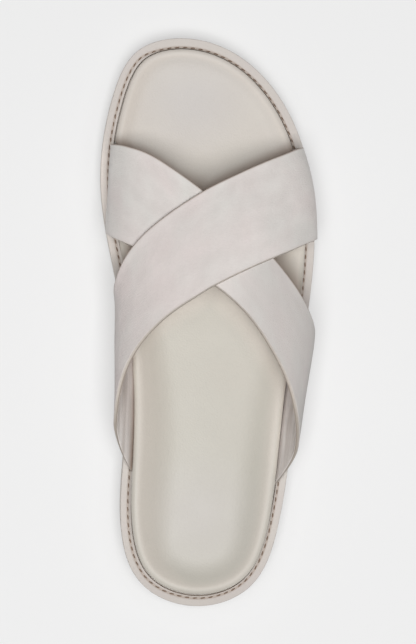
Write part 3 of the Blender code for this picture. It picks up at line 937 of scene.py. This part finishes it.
def flat_on_last(girth, along):
    """The under strap lies on the last itself."""
    return np.zeros(along.shape)


STRAP_NUBUCK = make_strap_nubuck()
under_sheets, under_fields = strap_sheet(UNDER_STRAP, UNDER_FOLDS, UNDER_TONES_SHADE_CURL, flat_on_last)
under_strap = add_piece("under_strap", under_sheets, STRAP_NUBUCK, under_fields)
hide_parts("upper")


# Over strap: the upper band of the two, of the same nubuck and lining, from the outer ball to the
# inner side of the heel. It lies on the under strap where they cross, is joined to it there out of
# sight, and comes down to the foot beside it.

OVER_STRAP = table(
    "girth front rear",
    (0.00, 6.0, -82.0),
    (0.06, 9.5, -71.0),
    (0.12, 13.5, -51.3),
    (0.19, 20.5, -33.0),
    (0.26, 30.4, -17.3),
    (0.35, 44.5, -1.6),
    (0.47, 61.3, 13.0),
    (0.60, 75.7, 27.0),
    (0.75, 85.0, 37.8),
    (1.00, 88.0, 42.0),
)
OVER_FOLDS = table(
    "run share width reach slant height",
    (12.0, 0.25, 8.0, 0.35, 8.0, 0.35),
    (32.0, 0.35, 9.0, 0.40, -10.0, -0.45),
    (54.0, 0.45, 12.0, 0.45, -12.0, 0.30),
    (194.0, 0.55, 9.0, 0.40, -6.0, -0.12),
)
STRAP_PRESSED = 0.05  # depth to which the straps are pressed into each other
CROSSING_RAMP = 38.0  # length over which the over strap comes down beside the under strap
# The same for the over strap, whose painted shade is strongest at its inner end by the heel
OVER_TONES_SHADE_CURL = table(
    "run rosy worn curl",
    (0.0, 0.85, 0.68, 0.0),
    (28.0, 0.85, 0.66, 0.0),
    (44.0, 0.76, 0.20, 0.4),
    (72.0, 0.74, 0.15, 0.6),
    (105.0, 0.66, 0.12, 0.6),
    (145.0, 0.31, 0.0, 0.5),
    (175.0, 0.31, 0.0, 0.0),
    (200.0, 0.31, 0.0, 0.0),
)


def over_the_crossing(girth, along):
    """How far the over strap is raised: the under strap's thickness over it, falling off beside it."""
    ahead = along - read(UNDER_STRAP, "front", girth, by="girth")
    behind = read(UNDER_STRAP, "rear", girth, by="girth") - along
    beside = np.maximum(np.maximum(ahead, behind), 0)
    return (STRAP_THICKNESS - STRAP_PRESSED) * (1 - smooth_step(beside / CROSSING_RAMP))


over_sheets, over_fields = strap_sheet(OVER_STRAP, OVER_FOLDS, OVER_TONES_SHADE_CURL, over_the_crossing)
over_strap = add_piece("over_strap", over_sheets, STRAP_NUBUCK, over_fields)
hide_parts("upper")


# Footbed: a moulded insole covered with soft smooth leather, cupped at the heel and flat at the toe.
# It is pressed in last, inside the welt, and its rolled lip covers the groove with the straps' ends.

FOOTBED_BASE = 7.2  # in from the outline
# Heights of its floor and lip over the rim, how far the lip reaches out over the groove on the inner
# and the outer side, and the slope's length from lip to floor
FOOTBED = table(
    "along floor lip_inner lip_outer reach_inner reach_outer slope",
    (-144.0, 3.4, 7.1, 7.1, 0.5, 0.5, 15.5),
    (-128.0, 2.8, 7.7, 7.7, 1.1, 1.1, 16.8),
    (-105.0, 1.9, 8.6, 8.3, 1.7, 1.3, 21.0),
    (-83.0, 2.0, 9.4, 8.4, 2.2, 0.8, 23.5),
    (-60.0, 2.3, 9.9, 8.0, 2.9, 0.4, 24.0),
    (-36.0, 2.9, 10.3, 7.3, 3.5, 0.4, 22.0),
    (-15.0, 3.5, 10.2, 6.5, 4.1, 0.6, 19.0),
    (0.0, 3.8, 9.0, 5.8, 3.6, 1.3, 16.0),
    (40.0, 3.6, 4.6, 4.2, 1.75, 1.75, 12.0),
    (90.0, 3.2, 4.8, 4.2, 1.2, 1.3, 10.0),
    (144.0, 3.8, 4.8, 4.6, 1.2, 1.2, 10.0),
)
LIP_NOTCH_CLEAR = 0.6  # the lip stays inside a strap's lining this far past the strap's edge
LIP_NOTCH_RELEASE = 0.8  # and comes out by this share of the way beyond that
LIP_ROOT = 0.4  # height over the rim at which the lip begins to lean out
LIP_START_SHARE = 0.78  # of the lip's height, where its round begins
LIP_WIDTH = 2.2
LIP_BORDER = 0.45  # share of the slope's rosy tone on the lip
BORDER_OUTER = 0.35  # share of the outer side's slope on which that tone eases out
TUCKED_SHARE = (0.5, 1.0)  # of the side's height, over which it comes out from under the lip
SIDE_RINGS = 10
LIP_RINGS = 11
SLOPE_RINGS = 25
BED_COLUMNS = 30
BASE_COLUMNS = 4
# The slope from the lip to the floor steepens over its first share, runs straight and then eases out
CUP_STEEPENED = 0.15
CUP_EASING = 0.4
CUP_EASING_POWER = 2.5
# Painted shade darkens the leather under a strap, from this far ahead of its front edge on, on
# the shoe's inner and outer half, and from its rear edge on
UNDER_COVER = (6.5, 17.0)
OVER_COVER = (9.0, 7.2)
COVER_REAR_FADE = 12.0
HALVES_MEET = (0.42, 0.58)  # of the girth, where the inner half turns into the outer one
# Greyer places at the toe and the heel: the middle, how far it reaches, and its tone, in metres
GREYER_SPOTS = (
    ((-0.008, 0.112, 0.017), 0.030, (0.575, 0.541, 0.513, 1)),
    ((-0.005, -0.098, 0.020), 0.036, (0.570, 0.541, 0.500, 1)),
)
SPOT_CORE = 0.2  # share of its reach on which a greyer place has its full tone
# painted light, for light bounced off the linings, makes the leather paler near a strap's rear edge
PAINTED_LIGHT_REACH = 11.0  # the leather is paler this far on both sides of a strap's rear edge
TOE_TONE = (0.045, 0.095)  # metres along the shoe, over which the leather turns rosy to the toe
# painted shade darkens the leather at the heel's back
HEEL_BACK_SHADE = (-0.1325, -0.1375)  # metres along the shoe, over which it darkens at the heel's back


def side_value(column, flat):
    """A value of the footbed that differs from side to side, blended round heel and toe."""
    outer_share = smooth_step((EDGE_NORMAL[:, 0] + 1) / 2)
    inner = read(FOOTBED, column + "_inner", flat[:, 1])
    outer = read(FOOTBED, column + "_outer", flat[:, 1])
    return inner + (outer - inner) * outer_share


def lining_reach(up):
    """How far the footbed can lean out at a height over the straps' ends and stay inside a lining.

    Past a strap's edge it can reach further, the more the further away.
    """
    along = EDGE[:, 1]
    inner_side = EDGE[:, 0] < 0
    bulge = np.where(inner_side, read(LAST, "bulge_inner", along), read(LAST, "bulge_outer", along))
    past = np.full(len(EDGE), np.inf)
    for strap in (UNDER_STRAP, OVER_STRAP):
        for end, side in ((0, inner_side), (-1, ~inner_side)):
            beyond = np.maximum(along - strap["front"][end], strap["rear"][end] - along)
            past = np.where(side, np.minimum(past, beyond), past)
    release = LIP_NOTCH_RELEASE * np.maximum(past - LIP_NOTCH_CLEAR, 0)
    return bulge * lean(up, read(LAST, "shoulder", along)) + release


def cup_fall(share):
    """Fall from the lip (0) to the floor (1) along the slope.

    It is a parabola, then a straight line, then a power curve that ends level.
    """
    steepened = np.minimum(share, CUP_STEEPENED) ** 2 / (2 * CUP_STEEPENED)
    straight = np.clip(share - CUP_STEEPENED, 0, CUP_EASING - CUP_STEEPENED)
    easing_run = (1 - CUP_EASING) / CUP_EASING_POWER
    left = np.clip((1 - share) / (1 - CUP_EASING), 0, 1)
    eased = easing_run * (1 - left ** CUP_EASING_POWER)
    return (steepened + straight + eased) / (CUP_EASING - CUP_STEEPENED / 2 + easing_run)


def girth_over(flat):
    """The place on the girth that lies straight over flat points: the inverse of the last's arch."""
    across = flat[..., 0]
    along = flat[..., 1]
    ridge = read(LAST, "ridge", along)
    inner = groove_across(along, False) - read(LAST, "bulge_inner", along)
    outer = groove_across(along, True) + read(LAST, "bulge_outer", along)
    reach = np.where(across < ridge, inner, outer) - ridge
    turn = np.arccos(np.clip((across - ridge) / reach, 0, 1))
    turn = np.where(across < ridge, turn, np.pi - turn)
    return WALL_SHARE + (1 - 2 * WALL_SHARE) * turn / np.pi


def beside_straps(flat):
    """Two shares that ease out to 0: one is 1 under the straps, the other along their rear edges."""
    # the first share sets the painted shade under the straps, the second the painted light along their
    # rear edges
    girth = girth_over(flat)
    along = flat[..., 1]
    under = np.zeros(along.shape)
    behind = np.zeros(along.shape)
    rows = strap_girths()
    outer = between(girth, *HALVES_MEET)
    for strap, cover in ((UNDER_STRAP, UNDER_COVER), (OVER_STRAP, OVER_COVER)):
        past = {}
        for edge in ("front", "rear"):
            slant = np.interp(girth, rows, slantwise(rows, read(strap, edge, rows, by="girth")))
            past[edge] = (along - read(strap, edge, girth, by="girth")) / slant
        reach = cover[0] + (cover[1] - cover[0]) * outer
        front_share = smooth_step(1 - past["front"] / reach)
        under = np.maximum(under, front_share * smooth_step(past["rear"] / COVER_REAR_FADE))
        behind = np.maximum(behind, smooth_step(1 - np.abs(past["rear"]) / PAINTED_LIGHT_REACH))
    return under, behind * (1 - under)


def footbed_sheets():
    """Rings up the side and out, over the lip on a quarter ellipse and down the slope, then rungs.

    Its fields are 1 on the side that is tucked under the lip, on the slope inside the lip, under the
    straps, for painted shade, and along the straps' rear edges, for painted light.
    """
    base = inset(FOOTBED_BASE, OUTWARD_SHIFT)
    rings = [at_height(base, rim(base) - WELT_THICKNESS)]
    tucked = [1.0]
    border = [np.ones(len(EDGE))]
    side_top = LIP_START_SHARE * side_value("lip", EDGE)
    for share in np.linspace(0, 1, SIDE_RINGS):
        over_rim = LIP_ROOT + (side_top - LIP_ROOT) * share
        reach = side_value("reach", EDGE) * smooth_step(share)
        lip_start = FOOTBED_BASE - np.minimum(reach, lining_reach(WELT_THICKNESS + over_rim))
        ring = inset(lip_start, OUTWARD_SHIFT)
        rings.append(at_height(ring, rim(ring) + over_rim))
        tucked.append(1 - between(share, *TUCKED_SHARE))
        border.append(np.ones(len(EDGE)))
    for turn in np.linspace(0, np.pi / 2, LIP_RINGS)[1:]:
        ring = inset(lip_start + LIP_WIDTH * (1 - np.cos(turn)), OUTWARD_SHIFT)
        share = LIP_START_SHARE + (1 - LIP_START_SHARE) * np.sin(turn)
        rings.append(at_height(ring, rim(ring) + share * side_value("lip", ring)))
        tucked.append(0.0)
        border.append(np.full(len(EDGE), LIP_BORDER))
    slope = read(FOOTBED, "slope", EDGE[:, 1])
    border_share = 1 - (1 - BORDER_OUTER) * smooth_step(EDGE_NORMAL[:, 0] + 1)
    for share in np.linspace(0, 1, SLOPE_RINGS)[1:]:
        ring = inset(lip_start + LIP_WIDTH + slope * share, OUTWARD_SHIFT)
        sunk = cup_fall(share)
        rise = side_value("lip", ring) * (1 - sunk) + read(FOOTBED, "floor", ring[:, 1]) * sunk
        rings.append(at_height(ring, rim(ring) + rise))
        tucked.append(0.0)
        border.append(1 - smooth_step(share / border_share))
    floor = rungs(rings[-1][:, :2], BED_COLUMNS)
    floor = at_height(floor, rim(floor) + read(FOOTBED, "floor", floor[..., 1]))
    under = rungs(base, BASE_COLUMNS)
    under = at_height(under, rim(under) - WELT_THICKNESS)
    sheets = [sheet(under), sheet(np.stack(rings), ring=True), sheet(floor)]
    below = np.ones(under[..., 0].size)
    middle = np.zeros(floor[..., 0].size)
    points = np.concatenate([points for points, _ in sheets])
    shade_under_straps, light_behind_straps = beside_straps(points[:, :2])
    fields = {
        "tucked": np.concatenate([below, np.repeat(tucked, len(EDGE)), middle]),
        "border": np.concatenate([below, *border, middle]),
        "covered": shade_under_straps,
        "pale": light_behind_straps,
    }
    return sheets, fields


def make_footbed_leather():
    """Soft smooth leather with fine pores and a low satin gloss, toned by its place.

    It is olive cream at heel and waist, rosier at the toe, and rosier and lighter to the lip, partly by
    its own tone and partly by painted light on the slope. It is greyer in the toe's middle and at the
    heel. Painted light makes it paler along the straps' rear edges, and painted shade makes it brown
    under the straps, darker at the heel's back and brown on the side tucked under the lip.
    """
    material, tree, shader = start_material("footbed_leather", Specular_IOR_Level=0.4)
    place = object_place(tree)
    clouds = use_group(tree, CLOUDS, Place=place, Size=45.0)
    grain = use_group(tree, GRAIN, Place=place, Cell=0.8)
    along_shoe = coordinate(tree, place, "Y")
    forward = spread(tree, along_shoe, 0.0, 0.85, *TOE_TONE)
    uneven = calculate(tree, "ADD", forward, spread(tree, clouds, -0.15, 0.15))
    tone = mix_colours(tree, uneven, (0.555, 0.531, 0.470, 1), (0.618, 0.570, 0.522, 1))
    for spot, reach, colour in GREYER_SPOTS:
        away = add_node(tree, "VectorMath", {"operation": "DISTANCE"}, Vector=place)
        away.inputs[1].default_value = spot
        spot_share = spread(tree, away.outputs["Value"], 1.0, 0.0, SPOT_CORE * reach, reach)
        tone = mix_colours(tree, spot_share, tone, colour)
    # the lip and slope take a rosier, lighter tone: partly the leather's own hue, partly painted light
    # that lifts the slope's shade
    rosy = mix_colours(tree, forward, (0.645, 0.590, 0.528, 1), (0.640, 0.580, 0.522, 1))
    tone = mix_colours(tree, spread(tree, field(tree, "border"), 0.0, 0.8), tone, rosy)
    # painted light: paler along the straps' rear edges, where light bounced from the linings falls
    tone = mix_colours(tree, field(tree, "pale"), tone, (0.700, 0.648, 0.576, 1))
    # painted shade: brown under the straps and just in front of their front edges
    covered = spread(tree, field(tree, "covered"), 0.0, 0.75)
    tone = mix_colours(tree, covered, tone, (0.290, 0.200, 0.150, 1))
    # painted shade: darker at the heel's back
    heel_back_shade = spread(tree, along_shoe, 0.0, 0.2, *HEEL_BACK_SHADE)
    tone = mix_colours(tree, heel_back_shade, tone, (0.30, 0.27, 0.23, 1))
    pores = mix_colours(tree, spread(tree, grain, 0.10, 0.0, 0.0, 0.4), tone, (0.46, 0.41, 0.35, 1))
    # the side tucked under the lip is brown: partly its raw edge, partly painted shade of the groove
    tone = mix_colours(tree, field(tree, "tucked"), pores, (0.34, 0.255, 0.195, 1))
    tree.links.new(tone, shader.inputs["Base Color"])
    tree.links.new(spread(tree, clouds, 0.44, 0.54), shader.inputs["Roughness"])
    tree.links.new(bump(tree, grain, 0.05), shader.inputs["Normal"])
    return material


bed_sheets, bed_fields = footbed_sheets()
footbed = add_piece("moulded_footbed", bed_sheets, make_footbed_leather(), bed_fields)
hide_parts("footbed")


# Floor, light and camera: a pale photographer's table that glows, with a painted contact shadow
# close to the sandal and more glow far off, a large soft light over the heel end, dim surroundings
# with a white backdrop, and a camera almost straight above, a little to the inner side.

FLOOR_HALF = 12.0  # metres
FLOOR_GLOW = 0.43
FLOOR_FAR_GLOW = 0.85  # far off, where the light hardly reaches it
FLOOR_FAR = (0.25, 3.0)  # metres from the sandal between which its glow rises
# painted contact shadow: the floor's glow is dimmed close to the sandal
FLOOR_SHADE = 0.06  # it glows less by this close to the sandal
FLOOR_SHADE_REACH = 0.014  # metres
FLOOR_OPEN = (0.5, 1.0)  # share of open space over the floor, from full shade to none
FLOOR_COLOUR = (0.45, 0.45, 0.45, 1)
SURROUNDINGS = 0.08  # light from all round
BACKDROP = 0.88  # as the camera sees it past the floor
KEY_PLACE = Vector((-0.03, -0.26, 2.2))
KEY_SIZE = 1.15
KEY_WATTS = 46.0
CAMERA_PLACE = Vector((-0.0585, 0.004, 1.4))
CAMERA_AIM = Vector((0.0, 0.0, 0.016))
FRAME_HEIGHT = 0.327  # metres from the picture's lower edge to its upper one
SENSOR = 36.0  # millimetres

floor_mesh = bpy.data.meshes.new("floor")
floor_corners = FLOOR_HALF * np.array([(-1, -1, 0), (1, -1, 0), (1, 1, 0), (-1, 1, 0)])
floor_mesh.from_pydata(floor_corners.tolist(), [], [(0, 1, 2, 3)])
floor_material, floor_tree, floor_shader = start_material(
    "pale_floor", Base_Color=FLOOR_COLOUR, Roughness=0.9, Specular_IOR_Level=0.0,
    Emission_Color=(1, 1, 1, 1),
)
# painted contact shadow: the floor glows less where the sandal closes in the space over it
openness = add_node(
    floor_tree, "AmbientOcclusion", {"samples": 8}, Distance=FLOOR_SHADE_REACH
).outputs["AO"]
far_off = add_node(
    floor_tree, "VectorMath", {"operation": "LENGTH"}, Vector=object_place(floor_tree)
).outputs["Value"]
glow = calculate(
    floor_tree, "SUBTRACT",
    spread(floor_tree, far_off, FLOOR_GLOW, FLOOR_FAR_GLOW, *FLOOR_FAR),
    spread(floor_tree, openness, FLOOR_SHADE, 0.0, *FLOOR_OPEN),
)
floor_tree.links.new(glow, floor_shader.inputs["Emission Strength"])
floor_mesh.materials.append(floor_material)
floor = bpy.data.objects.new("floor", floor_mesh)
bpy.context.scene.collection.objects.link(floor)

world = bpy.data.worlds.new("surroundings")
bpy.context.scene.world = world
world.use_nodes = True
sky = world.node_tree
seen = add_node(sky, "LightPath").outputs["Is Camera Ray"]
sky.nodes["Background"].inputs["Color"].default_value = (1, 1, 1, 1)
sky.links.new(spread(sky, seen, SURROUNDINGS, BACKDROP), sky.nodes["Background"].inputs["Strength"])

key_data = bpy.data.lights.new("key", "AREA")
key_data.size = KEY_SIZE
key_data.energy = KEY_WATTS
key = bpy.data.objects.new("key", key_data)
key.location = KEY_PLACE
key.rotation_euler = (-KEY_PLACE).to_track_quat("-Z", "Y").to_euler()
bpy.context.scene.collection.objects.link(key)

camera_data = bpy.data.cameras.new("camera")
camera_data.sensor_width = SENSOR
camera_data.lens = SENSOR * (CAMERA_PLACE - CAMERA_AIM).length / FRAME_HEIGHT
camera = bpy.data.objects.new("camera", camera_data)
back = (CAMERA_PLACE - CAMERA_AIM).normalized()
up = (Vector((0, 1, 0)) - back * back.y).normalized()
turn = Matrix((up.cross(back), up, back)).transposed()
camera.matrix_world = Matrix.Translation(CAMERA_PLACE) @ turn.to_4x4()
bpy.context.scene.collection.objects.link(camera)
bpy.context.scene.camera = camera
bpy.context.scene.view_settings.view_transform = "Standard"
